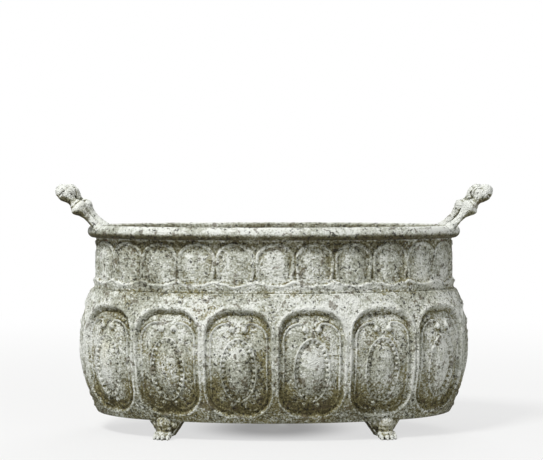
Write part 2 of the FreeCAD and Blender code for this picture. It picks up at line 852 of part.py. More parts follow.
def foot(name, front_wall):
    body = new_body(name + "_casting")
    web = sketch_on(body, name + "_web", "XZ_Plane")
    outline(web, [
        ("-web_foot_width / 2", "paw_height / 4"),
        ("web_foot_width / 2", "paw_height / 4"),
        ("web_width / 2", "foot_height - 3"),
        ("web_width / 2", "foot_height"),
        ("-web_width / 2", "foot_height"),
        ("-web_width / 2", "foot_height - 3"),
    ])
    pad(body, web, "web_thickness", midplane=True)
    ankle = sketch_on(body, name + "_ankle", "XY_Plane")
    circle_in(ankle, "0", "-ankle_reach", "ankle_diameter")
    bind(ankle, "AttachmentOffset.Base.z", "paw_height / 4")
    knee = sketch_on(body, name + "_knee", "XY_Plane")
    circle_in(knee, "0", "-knee_reach", "knee_diameter")
    bind(knee, "AttachmentOffset.Base.z", "foot_height + knee_rise")
    leg = body.newObject("PartDesign::AdditiveLoft", name + "_leg")
    leg.Profile = ankle
    leg.Sections = [knee]
    leg.Ruled = True
    lumps = [("paw", "0", "-ankle_reach", "paw_height / 2", "paw_width", "paw_length", "paw_height * 1.2")]
    for step in (-1.5, -0.5, 0.5, 1.5):
        reach = "-(ankle_reach + paw_length * %g)" % (0.44 - 0.05 * abs(step))
        lumps.append((
            "toe_%d" % (2 * step + 3), "%g * toe_width * 0.78" % step, reach, "toe_height * 0.4",
            "toe_width", "toe_length", "toe_height"))
    for label, x, y, z, wide, long, high in lumps:
        lump = body.newObject("PartDesign::AdditiveEllipsoid", "%s_%s" % (name, label))
        bind(lump, "Radius1", "(%s) / 2" % high)
        bind(lump, "Radius2", "(%s) / 2" % wide)
        bind(lump, "Radius3", "(%s) / 2" % long)
        lump.Angle1 = -90
        bind(lump, "Placement", "placement(vector(%s; %s; %s); rotation(0; 0; 0))" % (x, y, z))
    sole = sketch_on(body, name + "_sole", "XY_Plane")
    outline(sole, [
        ("-web_width", "-3 * paw_length"),
        ("web_width", "-3 * paw_length"),
        ("web_width", "3 * paw_length"),
        ("-web_width", "3 * paw_length"),
    ])
    trim = body.newObject("PartDesign::Pocket", name + "_trim")
    trim.Profile = sole
    bind(trim, "Length", "paw_height")
    side, offset = foot_spots[name]
    where = spot(arcs[side], offset, "foot_inset")
    put(body, where["x"], where["y"], "0", "(%s + 90)" % where["yaw"])
    hole = cylinder(name + "_socket", "foot_bolt_diameter", "foot_bolt_grip + 1", **dict(
        where, z="foot_height - foot_bolt_grip"))
    return cut(name, body, [front_wall, hole])


def foot_fasteners():
    bolts = []
    washers = []
    for name, (side, offset) in foot_spots.items():
        def at(level):
            return dict(spot(arcs[side], offset, "foot_inset"), z=level)

        seat = "(%s + washer_thickness)" % plate_top
        head = hexagon(name + "_bolt_head", "foot_head_width", "foot_head_height", **at(seat))
        reach = "(%s - foot_height + foot_bolt_grip - 1)" % seat
        shank = cylinder(name + "_bolt_shank", "foot_bolt_diameter", reach, **at("%s - %s" % (seat, reach)))
        bolts.append(fuse(name + "_bolt", [head, shank]))
        disc = cylinder(name + "_washer_disc", "washer_diameter", "washer_thickness", **at(plate_top))
        bore_width = "foot_bolt_diameter + hole_clearance"
        under = at("%s - 1" % plate_top)
        bore = cylinder(name + "_washer_bore", bore_width, "washer_thickness + 2", **under)
        washers.append(cut(name + "_washer", disc, [bore]))
    return group("foot_bolts", bolts), group("foot_washers", washers)


# Handles, drawn flat with the legs along X and the grip along Y

def handle(side, bead):
    name = "handle_" + side
    body = new_body(name + "_casting")
    swell = "((knuckle_diameter - leg_diameter) / 2)"
    knuckle = "(knuckle_length^2 / 4 + %s^2) / (2 * %s)" % (swell, swell)
    for leg in (-1, 1):
        sketch = sketch_on(body, "%s_leg_%d" % (name, leg + 1), "XY_Plane")
        outline(sketch, [
            ("0", "0"),
            ("handle_length", "0"),
            ("handle_length", "leg_diameter / 2"),
            ("knuckle_distance + knuckle_length / 2", "leg_diameter / 2", knuckle, 1),
            ("knuckle_distance - knuckle_length / 2", "leg_diameter / 2"),
            ("saddle_length", "leg_diameter / 2"),
            ("0", "saddle_diameter / 2"),
        ])
        bind(sketch, "AttachmentOffset.Base.y", "%d * handle_span / 2" % leg)
        revolution(body, sketch, "H_Axis", "360")
        knob = body.newObject("PartDesign::AdditiveSphere", "%s_knob_%d" % (name, leg + 1))
        bind(knob, "Radius", "knob_diameter / 2")
        centre = "vector(handle_length; %d * handle_span / 2; 0)" % leg
        bind(knob, "Placement", "placement(%s; rotation(0; 0; 0))" % centre)
    bar = sketch_on(body, name + "_grip", "XY_Plane")
    bulge = "((grip_diameter - leg_diameter) / 2)"
    outline(bar, [
        ("0", "-handle_span / 2"),
        ("leg_diameter / 2", "-handle_span / 2", "(handle_span^2 / 4 + %s^2) / (2 * %s)" % (bulge, bulge), 1),
        ("leg_diameter / 2", "handle_span / 2"),
        ("0", "handle_span / 2"),
    ])
    bind(bar, "AttachmentOffset.Base.x", "handle_length")
    revolution(body, bar, "V_Axis", "360")
    sign = "" if side == "right" else "-"
    put(body, sign + handle_x, "0", rim_level, "0" if side == "right" else "180", "-handle_tilt")
    sockets = []
    for leg in (-1, 1):
        where = handle_spot(side, leg, "0")
        label = "%s_socket_%d" % (name, leg + 1)
        sockets.append(cylinder(label, "foot_bolt_diameter", "handle_bolt_reach + 1", **where))
    return cut(name, body, [bead] + sockets)


def handle_bolts():
    bolts = []
    for side in ("left", "right"):
        for leg in (-1, 1):
            name = "handle_%s_bolt_%d" % (side, leg + 1)
            where = handle_spot(side, leg, "-handle_bolt_seat - foot_head_height")
            head = hexagon(name + "_head", "foot_head_width", "foot_head_height", **where)
            where = handle_spot(side, leg, "-handle_bolt_seat")
            reach = "handle_bolt_seat + handle_bolt_reach"
            shank = cylinder(name + "_shank", "foot_bolt_diameter", reach, **where)
            bolts.append(fuse(name, [head, shank]))
    return group("handle_bolts", bolts)


# Assembly

nodes = {}
for side in ("front", "back"):
    nodes[side + "_panel"] = long_panel(side)
for side in ("left", "right"):
    nodes[side + "_panel"] = end_panel(side)
nodes["panel_bolts"], nodes["panel_nuts"] = panel_fasteners()
for side in ("front", "back"):
    nodes["neck_" + side] = neck_half(side)
nodes["neck_bolts"], nodes["neck_nuts"] = neck_fasteners()
nodes["waist_moulding"] = waist_moulding()
nodes["rim_ring"], rim_bead = rim_ring()
nodes["rim_screws"] = rim_screws()
for side in ("left", "right"):
    nodes["base_plate_" + side] = base_half(side)
for name, (side, offset) in foot_spots.items():
    nodes[name] = foot(name, doc.getObject("%s_panel_%s_wall" % (side, side)))
nodes["foot_bolts"], nodes["foot_washers"] = foot_fasteners()
for side in ("left", "right"):
    nodes["handle_" + side] = handle(side, rim_bead)
nodes["handle_bolts"] = handle_bolts()
doc.recompute()

for item in doc.Objects:
    if "Invalid" in item.State or "Error" in item.State:
        raise RuntimeError("%s did not build" % item.Name)

os.makedirs("parts", exist_ok=True)
for name, piece in nodes.items():
    piece.Label = name
    if piece.Shape.isNull() or not piece.Shape.isValid():
        raise RuntimeError("%s has no sound shape" % name)
    piece.Shape.exportStep("parts/%s.step" % name)
    print("%s: %d solids, %.1f cm3" % (name, len(piece.Shape.Solids), piece.Shape.Volume / 1000))
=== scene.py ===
import math

import bmesh
import bpy
import numpy as np
from mathutils import Matrix, Vector, noise


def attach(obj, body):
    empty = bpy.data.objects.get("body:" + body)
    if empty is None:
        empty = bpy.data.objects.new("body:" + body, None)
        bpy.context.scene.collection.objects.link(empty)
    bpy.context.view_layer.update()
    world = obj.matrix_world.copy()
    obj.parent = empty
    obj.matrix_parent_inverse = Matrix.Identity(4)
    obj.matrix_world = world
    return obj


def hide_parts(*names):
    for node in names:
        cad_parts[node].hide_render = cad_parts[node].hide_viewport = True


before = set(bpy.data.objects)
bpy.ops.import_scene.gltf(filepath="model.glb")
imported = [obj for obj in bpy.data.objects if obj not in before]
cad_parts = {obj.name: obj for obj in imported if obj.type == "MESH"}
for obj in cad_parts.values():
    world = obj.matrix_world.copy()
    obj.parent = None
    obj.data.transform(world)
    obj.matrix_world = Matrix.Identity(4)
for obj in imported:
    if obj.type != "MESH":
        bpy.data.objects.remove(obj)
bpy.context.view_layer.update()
mm = 0.001
print("frame loaded,", len(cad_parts), "solids")

# The trough's plan is eight tangent arcs. A place on it is named by the direction that its wall faces,
# in degrees from +X, and by its inset: millimetres outwards from the belly line, so mostly negative.
plan = {
    "frontRadius": 530, "cornerRadius": 199, "endRadius": 116,
    "halfFront": 26, "corner": 34, "end": 60,      # degrees that each arc turns
}
arcTurns = [2 * plan["halfFront"], plan["corner"], plan["end"], plan["corner"]] * 2
arcRadii = np.array(
    [plan["frontRadius"], plan["cornerRadius"], plan["endRadius"], plan["cornerRadius"]] * 2)
arcMarks = np.concatenate([[0], np.cumsum(arcTurns)])
firstMark = -90 - plan["halfFront"]                # where the front arc starts


def smooth(value, low, high):
    share = np.clip((value - low) / (high - low), 0, 1)
    return share * share * (3 - 2 * share)


def bead(gap, width):
    return np.exp(-(gap / width) ** 2)


def dome(gap, radius):
    return np.sqrt(np.clip(1 - (gap / radius) ** 2, 0, 1))


def onPlan(turns, inset):
    facing = np.radians(turns)
    nx, ny = np.cos(facing), np.sin(facing)
    tilt = np.degrees(np.arctan2(abs(nx), abs(ny)))          # 0 in the middle of a long side, 90 at an end
    step = math.radians(plan["halfFront"])
    turned = step + math.radians(plan["corner"])
    first = plan["frontRadius"] - plan["cornerRadius"]
    second = plan["cornerRadius"] - plan["endRadius"]
    cornerX, cornerY = first * math.sin(step), second * math.cos(turned)
    endX = cornerX + second * math.sin(turned)
    frontY = cornerY + first * math.cos(step)
    onFront = tilt < plan["halfFront"]
    onCorner = tilt < plan["halfFront"] + plan["corner"]
    centreX = np.where(onFront, 0, np.where(onCorner, cornerX, endX)) * np.sign(nx)
    centreY = np.where(onFront, frontY, np.where(onCorner, cornerY, 0)) * -np.sign(ny)
    turnRadius = np.where(onCorner, plan["cornerRadius"], plan["endRadius"])
    radius = np.where(onFront, plan["frontRadius"], turnRadius)
    return centreX + (radius + inset) * nx, centreY + (radius + inset) * ny


def localTurn(turns):                              # degrees past the front arc's start
    return np.clip((turns - firstMark) % 360, 0, 359.999)


def arcAt(turns):                                  # which of the eight arcs a direction lies on
    return np.searchsorted(arcMarks, localTurn(turns), side="right") - 1


def columns(start, end, pace):
    breaks = [start] + [m + lap + firstMark for lap in (-360, 0, 360) for m in arcMarks[:-1]
                        if start + 0.01 < m + lap + firstMark < end - 0.01] + [end]
    turns = []
    for low, high in zip(breaks, breaks[1:]):
        count = max(1, round(math.radians(high - low) * arcRadii[arcAt((low + high) / 2)] / pace))
        turns.extend(np.linspace(low, high, count, endpoint=False))
    return np.array(turns + [end])


def along(turns, inset):                           # distance round the plan from the front arc's start
    lengths = np.radians(arcTurns) * (arcRadii + inset)
    marks = np.concatenate([[0], np.cumsum(lengths)])
    return np.interp((np.asarray(turns) - firstMark) % 360, arcMarks, marks), marks[-1]


def nearest(places, centres, around):
    gaps = (places[:, None] - np.asarray(centres)[None, :] + around / 2) % around - around / 2
    return gaps[np.arange(len(places)), np.argmin(abs(gaps), axis=1)]


def grain(points, size, shift=0):
    flat = points.reshape(-1, 3) / size + shift
    return np.array([noise.noise(p) for p in flat]).reshape(points.shape[:-1])


def blur(field, reach):
    for axis in (0, 1):
        padded = np.pad(field, [(reach + 1, reach) if a == axis else (0, 0) for a in (0, 1)], mode="edge")
        total = np.cumsum(padded, axis=axis)
        span = 2 * reach + 1
        high = np.take(total, range(span, total.shape[axis]), axis=axis)
        low = np.take(total, range(total.shape[axis] - span), axis=axis)
        field = (high - low) / span
    return field


def hollows(relief):                               # above 0 in hollows, below 0 on ridges
    near = blur(blur(relief, 2), 2) - relief
    far = blur(blur(relief, 6), 6) - relief
    return np.clip(0.38 * near + 0.10 * far, -0.5, 1)


# The inner flanges that hold the castings together
flange = {"inset": -48.5, "thickness": 6.0, "chamfer": 0.5}


def flangeColumns(turns, radius):
    # two columns where each upright end flange stops, and which columns the flanges cover
    start, end = turns[0], turns[-1]
    lip = math.degrees(flange["thickness"] / radius)
    step = lip * 1.06                              # the wall springs back between lip and step
    turns = np.unique(np.concatenate([turns, [start + lip, start + step, end - lip, end - step]]))
    between = (lip + step) / 2
    return turns, (turns < start + between) | (turns > end - between)


# The uneven skin of a sand casting: size and height of its waves, lumps and grains, and size of its pits
skin = {"wave": (27, 0.45), "lump": (7, 0.30), "sand": (2.6, 0.24), "pit": 4.2}


def castSkin(points, pitDepth):
    waveSize, waveHeight = skin["wave"]
    lumpSize, lumpHeight = skin["lump"]
    sandSize, sandHeight = skin["sand"]
    uneven = waveHeight * grain(points, waveSize) + lumpHeight * grain(points, lumpSize)
    uneven = uneven + sandHeight * grain(points, sandSize, 3.1)
    return uneven - pitDepth * smooth(grain(points, skin["pit"], 7.3), 0.30, 0.55)


def castWall(name, turns, inset, height, hollow, ring=False):
    # rows run round the wall's section and columns along the plan, both bent from one flat grid
    inset, height, hollow = [np.vstack([a, a[:1]]) for a in (inset, height, hollow)]
    rows, cols = inset.shape
    x, y = onPlan(np.broadcast_to(turns, inset.shape), inset)
    bm = bmesh.new()
    bmesh.ops.create_grid(bm, x_segments=cols - 1, y_segments=rows - 1, size=1)
    layer = bm.verts.layers.float.new("hollow")
    for v in bm.verts:
        col = round((v.co.x + 1) / 2 * (cols - 1))
        row = round((v.co.y + 1) / 2 * (rows - 1))
        v[layer] = hollow[row, col]
        v.co = Vector((x[row, col], y[row, col], height[row, col])) * mm
    bmesh.ops.remove_doubles(bm, verts=bm.verts, dist=2e-6)
    if not ring:
        bmesh.ops.holes_fill(bm, edges=[e for e in bm.edges if e.is_boundary], sides=0)
    return finishPiece(name, bm)


def finishPiece(name, bm):
    bmesh.ops.recalc_face_normals(bm, faces=bm.faces)
    mesh = bpy.data.meshes.new(name)
    bm.to_mesh(mesh)
    bm.free()
    mesh.shade_smooth()
    piece = bpy.data.objects.new(name, mesh)
    bpy.context.scene.collection.objects.link(piece)
    return piece


# Wall panels with their cartouches
wall = {
    "bottom": 30, "top": 242, "belly": 155, "lowerCurve": 260, "upperCurve": 188,
    "thickness": 10, "ledge": -60, "pace": 1.25, "pitDepth": 0.7,
    # heights of the rows near the lower and the upper edge, and down the inside
    "footRows": [30.0, 30.6, 32, 34.5, 37, 39.5],
    "headRows": [218, 221, 224.5, 228, 232, 236, 239.5, 241.4, 242],
    "innerRows": [242, 241.5, 236.5, 236, 236, 235, 225, 212, 198, 184, 170, 155, 140, 125, 110,
                  95, 80, 65, 52, 43, 42, 36.5, 36, 36, 35.5, 30.5, 30],
}
cartouche = {
    "sill": 43, "head": 216, "ridge": 10, "round": 40,
    "depth": 4.8, "headDepth": 8.6, "lip": 0.7, "lipWidth": 1.7, "brow": 2.2, "browWidth": 4.2,
    "lineGap": 8.6, "line": 2.7, "lineWidth": 1.2, "scrollRound": 27, "scrollDrop": 20, "curlRound": 8,
    # x, z, radius and rise
    "upperBoss": (10.8, 185.5, 5.8, 3.8), "lowerBoss": (10.5, 61, 5.6, 2.6),
    "ovalHeight": 118.5, "ring": (29, 52), "ringRise": 3.1, "groove": 5.0,
    "pearlLine": (25.2, 48.2), "pearls": 28, "pearlRadius": 3.0, "pearlRise": 2.7,
    "cabochon": (21.8, 44.8), "cabochonRise": 6.2,
    "endRelief": 0.42,                             # share of the relief kept at the two ends
}
cartoucheDirtAndShading = {
    # how much darker each place is painted: under the recess's head a painted shadow with some dirt, under
    # each boss painted shade, in the foot, the field and on the shoulder dirt, and a dark line above each
    # upper scroll
    "head": 0.7, "foot": 0.75, "crease": 0.7, "shadeUnderBoss": 0.7, "field": 0.1, "shoulder": 0.35,
    # painted highlights: how much lighter the bosses, the oval's crown, the raised lines and the upper lip
    # are painted
    "highlightBoss": 0.25, "highlightCrown": 0.25, "highlightLines": 0.38, "highlightEdge": 0.6,
}


def wallInset(z):
    low = np.sqrt(wall["lowerCurve"] ** 2 - (wall["belly"] - z) ** 2) - wall["lowerCurve"]
    high = np.sqrt(wall["upperCurve"] ** 2 - (z - wall["belly"]) ** 2) - wall["upperCurve"]
    return np.where(z < wall["belly"], low, high)


def wallNormal(z):
    rise = z - wall["belly"]
    curve = np.where(rise < 0, wall["lowerCurve"], wall["upperCurve"])
    return np.sqrt(1 - (rise / curve) ** 2), rise / curve


# place across each cartouche, half its width, and the share of its relief that is kept
def bays(turns):
    arc = arcAt(turns)
    pitch = np.where(arc % 4 == 0, np.array(arcTurns)[arc] / 4, np.array(arcTurns)[arc])
    across = (localTurn(turns) - arcMarks[arc]) % pitch - pitch / 2
    across, reach = np.radians(across) * arcRadii[arc], np.radians(pitch) * arcRadii[arc] / 2
    shallow = np.where(arc % 4 == 2, smooth(reach - abs(across), 0, 16), 0)
    return across, reach - cartouche["ridge"] / 2, 1 - (1 - cartouche["endRelief"]) * shallow


def arcGap(x, z, centre, radius, low, high):
    angle = (np.degrees(np.arctan2(z - centre[1], x - centre[0])) - low) % 360
    gap = abs(np.hypot(x - centre[0], z - centre[1]) - radius)
    return np.where(angle <= high - low, gap, 1e3)


def ellipseGap(x, z, half):
    level = np.sqrt((x / half[0]) ** 2 + (z / half[1]) ** 2) + 1e-6
    steep = np.hypot(x / half[0] ** 2, z / half[1] ** 2) + 1e-6
    return (level - 1) * level / steep


def scrollGap(x, z, half):
    # each side line turns in at the head and at the sill, and curls to a boss
    side = half - cartouche["lineGap"]
    turn, curl = cartouche["scrollRound"], cartouche["curlRound"]
    inner = side - turn
    top = cartouche["head"] - cartouche["scrollDrop"]
    low = cartouche["sill"] + cartouche["lineGap"]
    upright = np.where((z > low + turn) & (z < top - turn), abs(x - side), 1e3)
    gaps = [
        upright,
        arcGap(x, z, (inner, top - turn), turn, 0, 90),
        arcGap(x, z, (inner, top - curl), curl, 90, 215),
        arcGap(x, z, (inner, low + turn), turn, 270, 360),
        arcGap(x, z, (inner, low + curl), curl, 145, 270),
    ]
    return np.minimum.reduce(gaps)


def pearlPlaces():
    share = np.linspace(0, 2 * math.pi, 2001)
    x, z = cartouche["pearlLine"][0] * np.sin(share), cartouche["pearlLine"][1] * np.cos(share)
    run = np.concatenate([[0], np.cumsum(np.hypot(np.diff(x), np.diff(z)))])
    stops = np.arange(cartouche["pearls"]) * run[-1] / cartouche["pearls"]
    return list(zip(np.interp(stops, run, x), np.interp(stops, run, z)))


def cartoucheGaps(across, z, half):
    # gaps from each spot to the ornament's lines, how near it is to the oval's crown and to the head
    c = cartouche
    x, up = abs(across), z - c["ovalHeight"]
    middle, reach = (c["sill"] + c["head"]) / 2, (c["head"] - c["sill"]) / 2
    qx, qz = x - half + c["round"], abs(z - middle) - reach + c["round"]
    corner = np.hypot(np.maximum(qx, 0), np.maximum(qz, 0))
    return {
        "inside": c["round"] - corner - np.minimum(np.maximum(qx, qz), 0),
        "scroll": scrollGap(x, z, half),
        "ring": ellipseGap(x, up, c["ring"]),
        "pearl": np.minimum.reduce([np.hypot(across - px, up - pz) for px, pz in pearlPlaces()]),
        "crown": np.clip(1 - (x / c["cabochon"][0]) ** 2 - (up / c["cabochon"][1]) ** 2, 0, 1),
        "upper": smooth(z, c["head"] - 70, c["head"] - 10),     # 1 near the head of the recess
        "middle": middle,
    }


def cartoucheRelief(x, z, gaps, uneven):
    c = cartouche
    inside, upper, ring = gaps["inside"], gaps["upper"], gaps["ring"]
    depth = c["depth"] + (c["headDepth"] - c["depth"]) * smooth(z, gaps["middle"], c["head"])
    heavy = 1 + 1.4 * smooth(90 - z, 0, 30)        # the lip is heavier near the sill
    relief = c["lip"] * (1 + 1.6 * uneven) * heavy * bead(inside + 1.4, c["lipWidth"])
    relief = relief + c["brow"] * upper * (1 + uneven) * bead(inside + 2.6, c["browWidth"])
    field = -depth + 2.0 * upper * smooth(inside, 5.0, 8.0) + 1.4 * smooth(inside, 10, 26)
    relief = relief + smooth(inside, 0, 3.0) * field
    relief = relief + c["line"] * (1 + uneven) * (1 + 0.5 * upper) * bead(gaps["scroll"], c["lineWidth"])
    for bossX, bossZ, radius, rise in (c["upperBoss"], c["lowerBoss"]):
        relief = relief + rise * dome(np.hypot(x - bossX, z - bossZ), radius)
    within = smooth(-ring, -0.8, 1.8)
    relief = relief * (1 - within) - within * c["groove"]
    relief = relief + c["ringRise"] * (1 + uneven) * bead(ring, c["lineWidth"])
    relief = relief + c["pearlRise"] * dome(gaps["pearl"], c["pearlRadius"])
    return relief + c["cabochonRise"] * gaps["crown"] ** 0.7


def cartoucheGrimeAndShading(x, z, half, gaps, relief):
    # dirt in the foot of the recess, a painted shadow with some dirt under the head, painted shade under
    # each boss, and painted highlights on the bosses, the oval's crown, the lines and the upper lip
    c, d = cartouche, cartoucheDirtAndShading
    inside, ring = gaps["inside"], gaps["ring"]
    grimeAndShading = np.maximum(hollows(relief), -0.25) * (1 - 0.9 * bead(inside - 3.5, 5.0))
    grimeAndShading = grimeAndShading * (1 - 0.45 * bead(ring + 4.5, 5.0))
    # painted shadow under the head of the recess, with some dirt
    grimeAndShading = grimeAndShading + d["head"] * gaps["upper"] * bead(inside - 5.5, 4.0)
    grimeAndShading = grimeAndShading + d["foot"] * bead(inside - 9, 10) * smooth(120 - z, 0, 60)
    grimeAndShading = grimeAndShading - 0.1 * smooth(-inside, -1, 3) * smooth(150 - z, 0, 70)
    centre = (half - c["lineGap"] - c["scrollRound"], c["head"] - c["scrollDrop"] - c["scrollRound"])
    grimeAndShading = grimeAndShading + d["crease"] * bead(arcGap(x, z, centre, c["scrollRound"] + 2.6, 25, 95), 1.3)
    # each boss is painted lighter on top, a painted highlight, and darker below, painted shade
    for bossX, bossZ, radius, _ in (c["upperBoss"], c["lowerBoss"]):
        grimeAndShading = grimeAndShading - d["highlightBoss"] * dome(np.hypot(x - bossX, z - bossZ), radius)
        grimeAndShading = grimeAndShading + d["shadeUnderBoss"] * bead(np.hypot(x - bossX, z - bossZ + radius), 0.7 * radius)
    # painted highlights on the raised lines, the pearls, the oval's crown and the upper lip
    lines = bead(ring, 1.5) + bead(gaps["scroll"], 1.5) + 0.7 * dome(gaps["pearl"], c["pearlRadius"])
    edge = bead(inside + 1.0, 1.8) * smooth(gaps["middle"] + 40 - z, 0, 50)
    around = smooth(inside, 3, 8) * smooth(ring, 0.5, 3)
    grimeAndShading = grimeAndShading - d["highlightCrown"] * gaps["crown"] - d["highlightLines"] * lines - d["highlightEdge"] * edge
    return grimeAndShading + d["field"] * around + d["shoulder"] * smooth(z, 232, 241)


def wallPanel(node, start, end):
    turns, upright = flangeColumns(columns(start, end, wall["pace"]), arcRadii[arcAt(start + 0.1)])
    middleRows = np.arange(wall["footRows"][-1] + 2, cartouche["head"], wall["pace"])
    z = np.concatenate([wall["footRows"], middleRows, wall["headRows"]])
    across, half, share = [a[None, :] for a in bays(turns)]
    base = np.repeat(wallInset(z)[:, None], len(turns), axis=1)
    x, y = onPlan(turns[None, :], base)
    points = np.stack([x, y, z[:, None] + 0 * x], axis=-1)
    gaps = cartoucheGaps(across, z[:, None], half)
    relief = cartoucheRelief(abs(across), z[:, None], gaps, grain(points, 10, 5.1)) * share
    grimeAndShading = cartoucheGrimeAndShading(abs(across), z[:, None], half, gaps, relief)
    relief = relief + castSkin(points, wall["pitDepth"])
    run = along(turns, 0)[0]
    # the left panel's run ends at 0, so the gap to its end is kept above 0
    edge = np.minimum(run - run[0], (run[-1] - run) % 1e5)
    relief = relief - 0.7 * (1 - smooth(edge, 0, 1.6))[None, :]
    relief[0], relief[-1] = -3.2, -2.4                       # the rounded bottom and top edges
    relief[1], relief[-2] = -1.0, -0.9
    outward, upward = wallNormal(z)
    inset = base + relief * outward[:, None]
    height = z[:, None] + relief * upward[:, None]
    height[0], height[-1] = wall["bottom"], wall["top"]
    innerZ = np.array(wall["innerRows"])
    back = wallInset(innerZ) - wall["thickness"]
    back[:4] = flange["inset"]
    back[0] = back[3] = flange["inset"] + flange["chamfer"]
    back[-4:] = wall["ledge"]
    back[-4] = back[-1] = wall["ledge"] + flange["chamfer"]
    inner = np.repeat(back[:, None], len(turns), axis=1)
    inner[4:20, upright] = flange["inset"]
    inset = np.vstack([inset, inner])
    height = np.vstack([height, np.repeat(innerZ[:, None], len(turns), axis=1)])
    hollow = np.vstack([grimeAndShading, np.full(inner.shape, 1.0)])
    return castWall(node + "Casting", turns, inset, height, hollow)


frontEnd = -90 + plan["halfFront"]
panels = {
    "front_panel": wallPanel("front_panel", firstMark, frontEnd),
    "right_panel": wallPanel("right_panel", frontEnd, -frontEnd),
    "back_panel": wallPanel("back_panel", -frontEnd, 180 + frontEnd),
    "left_panel": wallPanel("left_panel", 180 + frontEnd, 360 + firstMark),
}
print("wall panels:", [len(p.data.polygons) for p in panels.values()])

# Neck with its row of arches
neck = {
    "bottom": 242, "top": 334, "outer": -28.5, "inner": -34.5, "pace": 1.35, "pitDepth": 0.6,
    # heights of the rows down the inside
    "innerRows": [334, 333, 320, 305, 290, 275, 262, 252, 249, 248, 248, 247.5, 242.5, 242],
    "archPitch": 7.43, "cornerArches": (-7.14, 12.75),       # degrees from each arc's middle
    "archHalf": 31.0, "archFoot": 27.0, "archDrop": 34, "archHead": 26, "archTop": 322,
    "line": 0.9, "hollow": 1.9, "tongue": 2.6, "spandrel": 2.2,
}
cornerMiddle = 90 - plan["halfFront"] - plan["corner"] / 2
archTurns = [side + k * neck["archPitch"] for side in (-90, 90) for k in range(-3, 4)] + [0, 180]
for offset in neck["cornerArches"]:
    tilt = cornerMiddle - offset
    archTurns += [tilt, -tilt, 180 - tilt, 180 + tilt]


def archRelief(across, z, uneven):
    n = neck
    x = abs(across)
    spring = n["archTop"] - n["archHead"]
    up = np.maximum(z - spring, 0)
    drop = np.clip((spring - z) / n["archDrop"], 0, 2)
    waisted = n["archHalf"] - (n["archHalf"] - n["archFoot"]) * drop ** 2
    inside = np.where(z < spring, waisted - x, -ellipseGap(x, up, (n["archHalf"], n["archHead"])))
    relief = n["line"] * (1 + 2.0 * uneven) * bead(inside - 1.2, 1.7)
    relief = relief - n["hollow"] * smooth(inside, 2.0, 6.0) + n["tongue"] * smooth(inside, 7.0, 22.0)
    between = smooth(-inside, 0.2, 3.0) * (1 - smooth(z, n["archTop"], n["archTop"] + 7))
    relief = relief - n["spandrel"] * between
    # dirt in the hollows and between the arches; the whole neck is a little darker and its top under the rim
    # darker still, painted shadow of the rim with some dirt
    grimeAndShading = np.maximum(hollows(relief), -0.15) + 0.45 * between + 0.15
    return relief, grimeAndShading + 0.3 * smooth(z, 306, 330) - 0.15 * smooth(inside, 8, 20)


def neckHalf(node, start, end):
    turns = columns(start, end, neck["pace"])
    turns, upright = flangeColumns(turns, plan["endRadius"] + neck["outer"])
    footRows = neck["bottom"] + np.array([0, 4, 8, 12, 15])
    headRows = neck["top"] - np.array([0.6, 0])
    z = np.concatenate([footRows, np.arange(neck["bottom"] + 17, neck["top"] - 1, neck["pace"]), headRows])
    places, around = along(turns, neck["outer"])
    centres = along(np.array(archTurns), neck["outer"])[0]
    across = nearest(places, centres, around)
    x, y = onPlan(turns[None, :], neck["outer"] + 0 * z[:, None])
    points = np.stack([x, y, z[:, None] + 0 * x], axis=-1)
    relief, grimeAndShading = archRelief(across[None, :], z[:, None], grain(points, 10, 5.1))
    relief = relief + castSkin(points, neck["pitDepth"])
    relief[:4] = 0
    relief[-1] = -0.5
    innerZ = np.array(neck["innerRows"])
    back = np.full(len(innerZ), float(neck["inner"]))
    back[-4:] = flange["inset"]
    back[-4] = back[-1] = flange["inset"] + flange["chamfer"]
    inner = np.repeat(back[:, None], len(turns), axis=1)
    inner[2:10, upright] = flange["inset"]
    inset = np.vstack([neck["outer"] + relief, inner])
    height = np.vstack([z[:, None] + 0 * relief, np.repeat(innerZ[:, None], len(turns), axis=1)])
    hollow = np.vstack([grimeAndShading, np.full(inner.shape, 1.0)])
    return castWall(node + "Casting", turns, inset, height, hollow)


necks = {
    "neck_front": neckHalf("neck_front", -180, 0),
    "neck_back": neckHalf("neck_back", 0, 180),
}
print("neck halves:", [len(p.data.polygons) for p in necks.values()])

# Waist moulding: a cove with a line above it that peaks between the arches
waist = {
    "bottom": 242, "top": 265, "back": -28.5, "face": -25.3, "pace": 1.6,
    "line": 1.4, "lineHeight": 253.5, "peak": 6.5, "peakHalf": 30,
    "cove": 1.0, "coveHeight": 246.5,
    "setBack": 2.7,                                # of the face above the line
}


